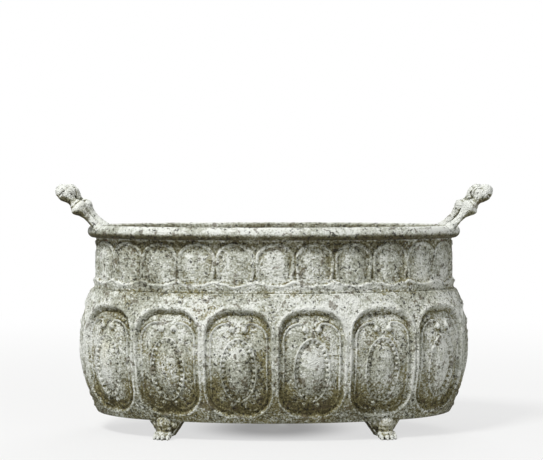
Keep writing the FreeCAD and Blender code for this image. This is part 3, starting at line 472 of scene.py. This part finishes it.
def waistMoulding():
    w = waist
    turns = columns(-180, 180, w["pace"])
    places, around = along(turns, neck["outer"])
    centres = np.sort(along(np.array(archTurns), neck["outer"])[0])
    gaps = (centres + np.diff(np.append(centres, centres[0] + around)) / 2) % around
    toGap = nearest(places, gaps, around)
    faceRows = np.arange(w["bottom"] + 1.2, w["top"] - 0.5, 1.1)
    z = np.concatenate([[w["bottom"], w["bottom"] + 0.4], faceRows, [w["top"] - 0.3, w["top"]]])
    x, y = onPlan(turns[None, :], w["face"] + 0 * z[:, None])
    points = np.stack([x, y, z[:, None] + 0 * x], axis=-1)
    cusp = w["peak"] * np.clip(1 - abs(toGap) / w["peakHalf"], 0, 1) ** 1.7
    waver = 2.2 * grain(points[:1], 17, 2.0) + 1.4 * grain(points[:1], 6, 4.0)
    above = z[:, None] - (w["lineHeight"] + cusp[None, :] + waver)
    relief = w["line"] * (1 + 1.5 * grain(points, 6, 5.1)) * bead(above, 1.9)
    relief = relief - w["setBack"] * smooth(above, 0.5, 4.5)
    relief = relief - w["cove"] * bead(z[:, None] - w["coveHeight"], 2.4)
    relief = relief + 0.25 * grain(points, 7) + 0.25 * grain(points, 2.6, 3.1)
    relief[0], relief[-1] = -1.8, -3.4
    inset = np.vstack([w["face"] + relief, np.full((2, len(turns)), float(w["back"]))])
    inset = np.maximum(inset, w["back"])
    backZ = np.array([[w["top"]], [w["bottom"]]]) + np.zeros((2, len(turns)))
    height = np.vstack([z[:, None] + 0 * relief, backZ])
    hollow = hollows(relief) + 0.9 * (1 - smooth(z, w["bottom"] + 0.5, w["bottom"] + 5))[:, None]
    hollow = np.vstack([hollow, np.zeros((2, len(turns)))])
    return castWall("waistMouldingCasting", turns, inset, height, hollow, ring=True)


moulding = waistMoulding()
print("waist moulding:", len(moulding.data.polygons))

# Rim bead
rim = {"inset": -25.5, "level": 338.5, "radius": 10.5, "steps": 36, "pace": 2.4, "pitDepth": 0.4}


def rimBead():
    turns = columns(-180, 180, rim["pace"])
    around = np.linspace(0, 2 * math.pi, rim["steps"], endpoint=False)[:, None] + 0 * turns[None, :]
    x, y = onPlan(turns[None, :], rim["inset"] + rim["radius"] * np.cos(around))
    points = np.stack([x, y, rim["level"] + rim["radius"] * np.sin(around)], axis=-1)
    uneven = 0.35 * grain(points, 22) + 0.16 * grain(points, 6) + 0.10 * grain(points, 2.6)
    uneven = uneven - rim["pitDepth"] * smooth(grain(points, skin["pit"], 7.3), 0.34, 0.6)
    radius = rim["radius"] + uneven
    inset = rim["inset"] + radius * np.cos(around)
    height = rim["level"] + radius * np.sin(around)
    # painted shade on the bead's underside; its inner side is darker too, painted shade with some dirt
    hollow = 1.4 * smooth(-np.sin(around), -0.1, 0.6) + 0.9 * smooth(-np.cos(around), 0.3, 0.9)
    return castWall("rimBead", turns, inset, height, hollow, ring=True)


rimRing = rimBead()
print("rim bead:", len(rimRing.data.polygons))


# Castings that are blended from simple lumps: handles and paw feet
def blendCasting(name, bm, voxel, passes):
    lumps = finishPiece(name + "Lumps", bm)
    remesh = lumps.modifiers.new("weld", "REMESH")
    remesh.mode = "VOXEL"
    remesh.voxel_size = voxel * mm
    relax = lumps.modifiers.new("relax", "SMOOTH")
    relax.iterations = passes
    relax.factor = 0.5
    depsgraph = bpy.context.evaluated_depsgraph_get()
    mesh = bpy.data.meshes.new_from_object(lumps.evaluated_get(depsgraph))
    bpy.data.objects.remove(lumps)
    made = bmesh.new()
    made.from_mesh(mesh)
    bpy.data.meshes.remove(mesh)
    return made


def weather(bm, coarse, fine):                     # uneven skin, how hollow each spot is, and painted shade on the undersides
    bm.normal_update()
    bm.verts.index_update()
    ends = np.array([(e.verts[0].index, e.verts[1].index) for e in bm.edges])
    ends = np.vstack([ends, ends[:, ::-1]])
    shares = np.bincount(ends[:, 0], minlength=len(bm.verts))[:, None]
    points = np.array([v.co for v in bm.verts]) / mm
    normals = np.array([v.normal for v in bm.verts])
    softer = points
    for lap in range(24):
        around = [np.bincount(ends[:, 0], softer[ends[:, 1], axis], len(bm.verts)) for axis in range(3)]
        softer = 0.3 * softer + 0.7 * np.stack(around, axis=1) / shares
    hollow = np.clip(1.5 * ((softer - points) * normals).sum(axis=1) + 0.35, -0.6, 1.2)
    hollow = hollow + 1.4 * smooth(-normals[:, 2], 0.0, 0.8)   # painted shade: the undersides are painted darker
    rough = coarse * grain(points, 7) + fine * grain(points, 2.6)
    layer = bm.verts.layers.float.new("hollow")
    for v in bm.verts:
        v[layer] = hollow[v.index]
        v.co += v.normal * rough[v.index] * mm


def turnedBar(bm, profile, place):                 # profile: distance along and radius, spun about X
    made = [bm.verts.new((reach * mm, radius * mm, 0)) for reach, radius in profile]
    edges = [bm.edges.new(pair) for pair in zip(made, made[1:])]
    bmesh.ops.spin(bm, geom=made + edges, cent=(0, 0, 0), axis=(1, 0, 0), angle=2 * math.pi,
                   steps=40, use_merge=True, dvec=(0, 0, 0))
    verts = [v for v in bm.verts if not v.tag]
    rims = [e for e in bm.edges if e.is_boundary]
    bmesh.ops.holes_fill(bm, edges=rims, sides=0)
    bmesh.ops.transform(bm, matrix=place, verts=verts)
    for v in bm.verts:
        v.tag = True


def lump(bm, centre, half, turn=None):
    made = bmesh.ops.create_icosphere(bm, subdivisions=3, radius=1)["verts"]
    size = Matrix.Diagonal([h * mm for h in half]).to_4x4()
    shape = Matrix.Translation(Vector(centre) * mm) @ (turn or Matrix()) @ size
    bmesh.ops.transform(bm, matrix=shape, verts=made)
    for v in made:
        v.tag = True


handle = {
    "reach": 288.85, "level": 338.5, "tilt": 46, "span": 110, "length": 89,
    "voxel": 1.0, "coarse": 0.6, "fine": 0.32,     # grid of the blend, and height of the skin's unevenness
    # distance along each bar and its radius
    "leg": [(7, 10.2), (12, 8.6), (17, 7.2), (23, 6.3), (30, 5.9), (36, 6.2), (41, 7.3), (46, 9.2),
            (50, 11.4), (53.5, 13.2), (57, 14.1), (60, 13.5), (62.5, 11.4), (64, 9.6), (65.5, 9.9),
            (67, 9.2), (69, 7.6), (72, 7.4), (75, 8.2), (78.5, 9.8), (82, 11.4), (86, 12.8), (89, 13.3),
            (91, 13.2), (92.5, 12.3), (94, 12.5), (97, 12.3), (100, 11.2), (103, 9.2), (105.5, 6.2),
            (107, 2.6)],
    "grip": [(-55, 7.0), (-42, 7.4), (-28, 8.6), (-15, 9.4), (-11, 9.6), (-9, 11.2), (-6.5, 11.8),
             (-4, 10.6), (0, 11.6), (4, 10.6), (6.5, 11.8), (9, 11.2), (11, 9.6), (15, 9.4), (28, 8.6),
             (42, 7.4), (55, 7.0)],
}


def castHandle(node, side):
    h = handle
    bm = bmesh.new()
    for leg in (-1, 1):
        aside = leg * h["span"] / 2
        turnedBar(bm, h["leg"], Matrix.Translation((0, aside * mm, 0)))
    across = Matrix.Translation((h["length"] * mm, 0, 0)) @ Matrix.Rotation(math.radians(90), 4, "Z")
    turnedBar(bm, h["grip"], across)
    made = blendCasting(node, bm, h["voxel"], 2)
    swing = Matrix.Rotation(0 if side > 0 else math.pi, 4, "Z")
    tilt = Matrix.Rotation(-math.radians(h["tilt"]), 4, "Y")
    lift = Matrix.Translation((h["reach"] * mm, 0, h["level"] * mm)) @ tilt
    bmesh.ops.transform(made, matrix=swing @ lift, verts=made.verts)
    weather(made, h["coarse"], h["fine"])
    return finishPiece(node + "Casting", made)


handles = {"handle_right": castHandle("handle_right", 1), "handle_left": castHandle("handle_left", -1)}
print("handles:", [len(p.data.polygons) for p in handles.values()])

foot = {
    "angle": 21.5, "inset": -52, "height": 30, "voxel": 0.75, "coarse": 0.55, "fine": 0.3,
    "webWidth": 60, "webThick": 16, "webReach": -5, "webFoot": 22, "webLow": 4,
    # reach, height and radius down the leg
    "leg": [(-19, 8, 11.5), (-18.5, 14, 12.4), (-18.5, 20, 13.6), (-20, 26, 13.4)],
    "cheek": (12.5, -12, 25, 9.5),                 # aside, reach, height and radius where leg and web meet
    "padAt": (0, -21, 7.5), "pad": (14.5, 13.5, 9.5),
    "toes": 4, "toePitch": 7.2, "toeReach": -32, "toeCurve": 0.035, "toeFan": 1.4,
    # knuckle, toe and claw: spread, reach, height and half sizes
    "toeLumps": [(1.0, 5.5, 9.5, (4.2, 7.0, 4.6)), (1.05, -0.5, 5.0, (4.0, 5.0, 4.4)),
                 (1.1, -4.2, 2.4, (2.0, 2.8, 2.2))],
}


def pawFoot(node, turn):
    f = foot
    bm = bmesh.new()
    web = bmesh.ops.create_cube(bm, size=1)["verts"]
    for v in web:
        wide = f["webWidth"] if v.co.z > 0 else f["webFoot"]
        level = f["height"] if v.co.z > 0 else f["webLow"]
        v.co = Vector((v.co.x * wide, f["webReach"] + v.co.y * f["webThick"], level)) * mm
    for reach, level, radius in f["leg"]:
        lump(bm, (0, reach, level), (radius * 1.05, radius * 0.8, radius * 0.9))
    aside, reach, level, radius = f["cheek"]
    for side in (-1, 1):
        lump(bm, (side * aside, reach, level), (radius, radius, radius))
    lump(bm, f["padAt"], f["pad"])
    for toe in range(f["toes"]):
        aside = (toe - (f["toes"] - 1) / 2) * f["toePitch"]
        reach = f["toeReach"] + f["toeCurve"] * aside ** 2
        fan = Matrix.Rotation(math.radians(aside * f["toeFan"]), 4, "Z")
        for spread, ahead, level, half in f["toeLumps"]:
            lump(bm, (aside * spread, reach + ahead, level), half, fan)
    made = blendCasting(node, bm, f["voxel"], 2)
    for v in made.verts:
        v.co.z = max(v.co.z, 0)
    x, y = onPlan(np.array(turn), np.array(f["inset"]))
    facing = Matrix.Rotation(math.radians(turn + 90), 4, "Z")
    place = Matrix.Translation((float(x) * mm, float(y) * mm, 0)) @ facing
    bmesh.ops.transform(made, matrix=place, verts=made.verts)
    weather(made, f["coarse"], f["fine"])
    layer = made.verts.layers.float["hollow"]
    for v in made.verts:
        v.co.z = max(v.co.z, 0)
        v[layer] += 0.3 * smooth(v.co.z / mm, 10, 26) - 0.3 * (1 - smooth(v.co.z / mm, 5, 12))
    return finishPiece(node + "Casting", made)


feet = {
    "foot_front_right": pawFoot("foot_front_right", -90 + foot["angle"]),
    "foot_front_left": pawFoot("foot_front_left", -90 - foot["angle"]),
    "foot_back_right": pawFoot("foot_back_right", 90 - foot["angle"]),
    "foot_back_left": pawFoot("foot_back_left", 90 + foot["angle"]),
}
print("feet:", [len(p.data.polygons) for p in feet.values()])


# Materials
class Field:                                       # a shader value that Python's operators work on
    def __init__(self, finish, socket):
        self.finish = finish
        self.socket = socket

    def combine(self, operation, first, second):
        made = self.finish.node("ShaderNodeMath", {"operation": operation}, {0: first, 1: second})
        return Field(self.finish, made.outputs[0])

    def __add__(self, other):
        return self.combine("ADD", self, other)

    def __radd__(self, other):
        return self.combine("ADD", other, self)

    def __sub__(self, other):
        return self.combine("SUBTRACT", self, other)

    def __rsub__(self, other):
        return self.combine("SUBTRACT", other, self)

    def __mul__(self, other):
        return self.combine("MULTIPLY", self, other)

    def __rmul__(self, other):
        return self.combine("MULTIPLY", other, self)

    def band(self, low, high):                     # 0 below low, 1 above high, smooth between
        made = self.finish.node("ShaderNodeMapRange", {"interpolation_type": "SMOOTHSTEP"},
                                {"Value": self, "From Min": low, "From Max": high})
        return Field(self.finish, made.outputs[0])


class Finish:
    def __init__(self, owner):
        owner.use_nodes = True
        self.owner = owner
        self.tree = owner.node_tree
        self.shader = self.tree.nodes.get("Principled BSDF")

    def node(self, kind, settings, inputs):
        made = self.tree.nodes.new(kind)
        for key, value in settings.items():
            setattr(made, key, value)
        for key, value in inputs.items():
            self.feed(made.inputs[key], value)
        return made

    def feed(self, socket, value):
        if isinstance(value, Field):
            self.tree.links.new(value.socket, socket)
        elif isinstance(value, bpy.types.NodeSocket):
            self.tree.links.new(value, socket)
        else:
            socket.default_value = value

    def place(self):
        return self.node("ShaderNodeTexCoord", {}, {}).outputs["Object"]

    def noise(self, size, detail=3.0, rough=0.55, shift=0):      # size of the spots in millimetres
        where = self.node("ShaderNodeMapping", {}, {
            "Vector": self.place(), "Location": (shift, shift, shift)})
        made = self.node("ShaderNodeTexNoise", {}, {
            "Vector": where.outputs[0], "Scale": 1000 / size, "Detail": detail, "Roughness": rough})
        return Field(self, made.outputs[0])

    def grains(self, size):                        # each grain's own tone, and how far from its middle
        made = self.node("ShaderNodeTexVoronoi", {}, {"Vector": self.place(), "Scale": 1000 / size})
        tone = self.node("ShaderNodeSeparateColor", {}, {0: made.outputs["Color"]})
        return Field(self, tone.outputs[0]), Field(self, made.outputs["Distance"])

    def attribute(self, name):
        return Field(self, self.node("ShaderNodeAttribute", {"attribute_name": name}, {}).outputs["Fac"])

    def height(self):
        return Field(self, self.node("ShaderNodeSeparateXYZ", {}, {0: self.place()}).outputs["Z"])

    def steepness(self):                           # 0 for a look along the floor, 1 for a look straight down
        facing = self.node("ShaderNodeNewGeometry", {}, {}).outputs["Incoming"]
        return Field(self, self.node("ShaderNodeSeparateXYZ", {}, {0: facing}).outputs["Z"])

    def seen(self):                                # rays that show a surface rather than light it
        path = self.node("ShaderNodeLightPath", {}, {})
        rays = Field(self, path.outputs["Is Camera Ray"])
        return rays + path.outputs["Is Glossy Ray"] + path.outputs["Is Transmission Ray"]

    def mix(self, share, first, second):
        made = self.node("ShaderNodeMix", {"data_type": "RGBA"}, {0: share, 6: first, 7: second})
        return made.outputs[2]

    def bump(self, height, distance, strength):
        made = self.node("ShaderNodeBump", {}, {
            "Height": height, "Distance": distance, "Strength": strength})
        self.feed(self.shader.inputs["Normal"], made.outputs[0])


paint = {
    "white": (0.75, 0.765, 0.715, 1), "cream": (0.62, 0.60, 0.43, 1),
    "grey": (0.42, 0.432, 0.358, 1), "ash": (0.175, 0.172, 0.118, 1),
    "olive": (0.215, 0.19, 0.078, 1), "rust": (0.11, 0.088, 0.05, 1),
    "brown": (0.072, 0.060, 0.025, 1), "black": (0.028, 0.025, 0.018, 1),
}
iron = {
    "plate": (0.20, 0.18, 0.15, 1), "plateRust": (0.13, 0.075, 0.04, 1),
    "bolt": (0.16, 0.13, 0.11, 1), "boltRust": (0.17, 0.075, 0.03, 1),
}


# wear: how much paint is gone, grit: contrast of the specks, mossy: share of moss; the remaining weight sets
# how far the hollow attribute darkens the paint, dirt in hollows and painted shade
def weatheredPaint(name, wear, grit, dirtAndShade, mossy):
    f = Finish(bpy.data.materials.new(name))
    hollow = f.attribute("hollow")
    patches, blots = f.noise(110, 3, 0.55, 0.71), f.noise(30, 4, 0.6, 1.02)
    spots, sand = f.noise(7, 3, 0.6, 0.17), f.noise(3.0, 1, 0.6, 0.53)
    specks, dust = f.noise(5.0, 2, 0.6, 0.77), f.noise(1.1, 1)
    tone, off = f.grains(2.6)
    lower = 1 - f.height().band(0.03, 0.165)
    sharp = grit * (0.6 + 0.4 * lower + 0.25 * hollow)         # specks stand out lower down and where the hollow attribute is high
    wearAndShade = (tone * 0.2 + sand * 1.15 - 0.68) * sharp + spots * 0.50 + blots * 0.66 + patches * 0.80
    # the hollow attribute darkens the paint: dirt in hollows, and painted shade on undersides and under
    # overhangs
    wearAndShade = wearAndShade + hollow * dirtAndShade + lower * 0.30 + wear + 0.60
    stain = (patches * 0.6 + f.noise(60, 4, 0.6, 2.1) * 0.8 + spots * 0.3 + hollow * 0.1).band(0.84, 1.12)
    colour = f.mix(stain * mossy, paint["white"], paint["cream"])
    colour = f.mix(wearAndShade.band(1.40, 1.64), colour, paint["grey"])
    colour = f.mix(wearAndShade.band(1.62, 1.88), colour, paint["ash"])
    moss = f.noise(52, 4, 0.6, 2.43) * 1.2 + spots * 0.4 + sand * 0.8 + hollow * 0.34 + lower * 0.19
    moss = moss.band(1.26, 1.58)
    colour = f.mix(moss * mossy, colour, paint["olive"])
    colour = f.mix(wearAndShade.band(1.80, 2.10) * 0.9, colour, paint["brown"])
    rust = (f.noise(17, 3, 0.6, 3.3) + 0.25 * spots + 0.1 * sand).band(0.755, 0.845)
    colour = f.mix(rust * 0.66, colour, paint["rust"])
    pits = (specks + 0.25 * spots + 0.18 * patches + 0.05 * hollow).band(0.82, 0.89)
    colour = f.mix(pits * 0.85, colour, paint["black"])
    f.feed(f.shader.inputs["Base Color"], colour)
    f.feed(f.shader.inputs["Roughness"], 0.74 + 0.12 * moss + 0.08 * dust)
    f.shader.inputs["Specular IOR Level"].default_value = 0.3
    f.bump(sand + 0.3 * spots - 0.5 * off - 0.5 * pits, 0.0026, 0.9)
    return f.owner


def dullIron(name, colour, rust):
    f = Finish(bpy.data.materials.new(name))
    blots, spots, dots = f.noise(30, 4, 0.6), f.noise(7, 3, 0.6), f.noise(2, 2)
    tone = f.mix((blots + 0.5 * spots).band(0.55, 1.0), colour, rust)
    tone = f.mix(dots.band(0.6, 0.72) * 0.7, tone, paint["black"])
    f.feed(f.shader.inputs["Base Color"], tone)
    f.feed(f.shader.inputs["Roughness"], 0.68 + 0.25 * blots)
    f.bump(spots + 0.6 * dots, 0.0008, 0.5)
    return f.owner


bodyPaint = weatheredPaint("bodyPaint", wear=-0.03, grit=1.0, dirtAndShade=0.27, mossy=0.85)
neckPaint = weatheredPaint("neckPaint", wear=0.0, grit=1.0, dirtAndShade=0.27, mossy=0.45)
rimPaint = weatheredPaint("rimPaint", wear=-0.12, grit=0.6, dirtAndShade=0.42, mossy=0.15)
handlePaint = weatheredPaint("handlePaint", wear=-0.17, grit=1.0, dirtAndShade=0.54, mossy=0.35)
footPaint = weatheredPaint("footPaint", wear=-0.43, grit=0.9, dirtAndShade=0.42, mossy=0.6)
innerIron = dullIron("innerIron", iron["plate"], iron["plateRust"])
boltIron = dullIron("boltIron", iron["bolt"], iron["boltRust"])


def dress(pieces, material):
    for node, piece in pieces.items():
        piece.data.materials.append(material)
        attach(piece, "root")
        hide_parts(node)


dress(panels, bodyPaint)
dress(necks, neckPaint)
dress({"waist_moulding": moulding}, bodyPaint)
dress(feet, footPaint)
dress({"rim_ring": rimRing}, rimPaint)
dress(handles, handlePaint)
for node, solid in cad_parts.items():
    if not solid.hide_render:
        material = innerIron if node.startswith("base_plate") else boltIron
        for place in solid.material_slots:
            place.material = material
print("materials set")

# Floor, light and camera
studio = {
    "floor": (0.60, 0.60, 0.59, 1), "floorHalf": 9, "ambient": 0.30,
    "white": 0.68,                                 # how far the floor fades to white
    "under": 0.45,                                 # share of that fade under the trough
    "aim": (0, 0, 0.2),
}


def pale(name):
    f = Finish(bpy.data.materials.new(name))
    f.shader.inputs["Base Color"].default_value = studio["floor"]
    f.shader.inputs["Roughness"].default_value = 0.9
    far = f.node("ShaderNodeVectorMath", {"operation": "LENGTH"}, {0: f.place()})
    reach = Field(f, far.outputs["Value"])
    # from above, the floor under the trough stays dark behind the drain gap
    under = studio["under"] + (1 - studio["under"]) * reach.band(0.04, 0.16)
    under = under + (reach.band(0.14, 0.21) - under) * f.steepness().band(0.3, 0.6)
    fade = under * studio["white"] + (1 - studio["white"]) * reach.band(0.3, 2.4)
    glow = f.node("ShaderNodeEmission", {}, {"Color": (1, 1, 1, 1), "Strength": 1})
    both = f.node("ShaderNodeMixShader", {}, {
        0: f.seen() * fade, 1: f.shader.outputs[0], 2: glow.outputs[0]})
    f.feed(f.tree.nodes["Material Output"].inputs["Surface"], both.outputs[0])
    return f.owner


bm = bmesh.new()
bmesh.ops.create_grid(bm, x_segments=1, y_segments=1, size=studio["floorHalf"])
floor = finishPiece("floor", bm)
floor.data.materials.append(pale("paleFloor"))

world = bpy.data.worlds.new("studio")
bpy.context.scene.world = world
sky = Finish(world)
sky.feed(sky.tree.nodes["Background"].inputs["Color"], (1, 1, 1, 1))
sky.feed(sky.tree.nodes["Background"].inputs["Strength"],
         studio["ambient"] + (1 - studio["ambient"]) * sky.seen())

lamps = {
    "key": {"at": (-1.25, -1.65, 2.9), "size": 0.8, "power": 106},
    "fill": {"at": (1.9, -2.2, 1.2), "size": 2.0, "power": 9},
    "back": {"at": (0.6, 2.2, 2.0), "size": 1.6, "power": 30},
}
for name, lamp in lamps.items():
    light = bpy.data.lights.new(name, "AREA")
    light.size = lamp["size"]
    light.energy = lamp["power"]
    stand = bpy.data.objects.new(name, light)
    stand.location = lamp["at"]
    stand.rotation_euler = (Vector(studio["aim"]) - stand.location).to_track_quat("-Z", "Y").to_euler()
    bpy.context.scene.collection.objects.link(stand)

# pixels of the photograph, metres, degrees, and the sensor's width in millimetres
shot = {
    "width": 543, "height": 460, "focus": 1699, "horizon": 175, "middle": 274.0,
    "distance": 2.905, "level": 0.434, "azimuth": -0.6, "sensor": 36,
}
camera = bpy.data.cameras.new("camera")
camera.sensor_width = shot["sensor"]
camera.lens = shot["focus"] * shot["sensor"] / shot["width"]
eye = bpy.data.objects.new("camera", camera)
yaw = math.radians(shot["azimuth"])
eye.location = (math.sin(yaw) * shot["distance"], -math.cos(yaw) * shot["distance"], shot["level"])
aside = math.atan((shot["middle"] - shot["width"] / 2) / shot["focus"])
down = math.atan((shot["height"] / 2 - shot["horizon"]) / shot["focus"])
eye.rotation_euler = (math.radians(90) - down, 0, yaw + aside)
bpy.context.scene.collection.objects.link(eye)
bpy.context.scene.camera = eye
bpy.context.scene.view_settings.view_transform = "Standard"
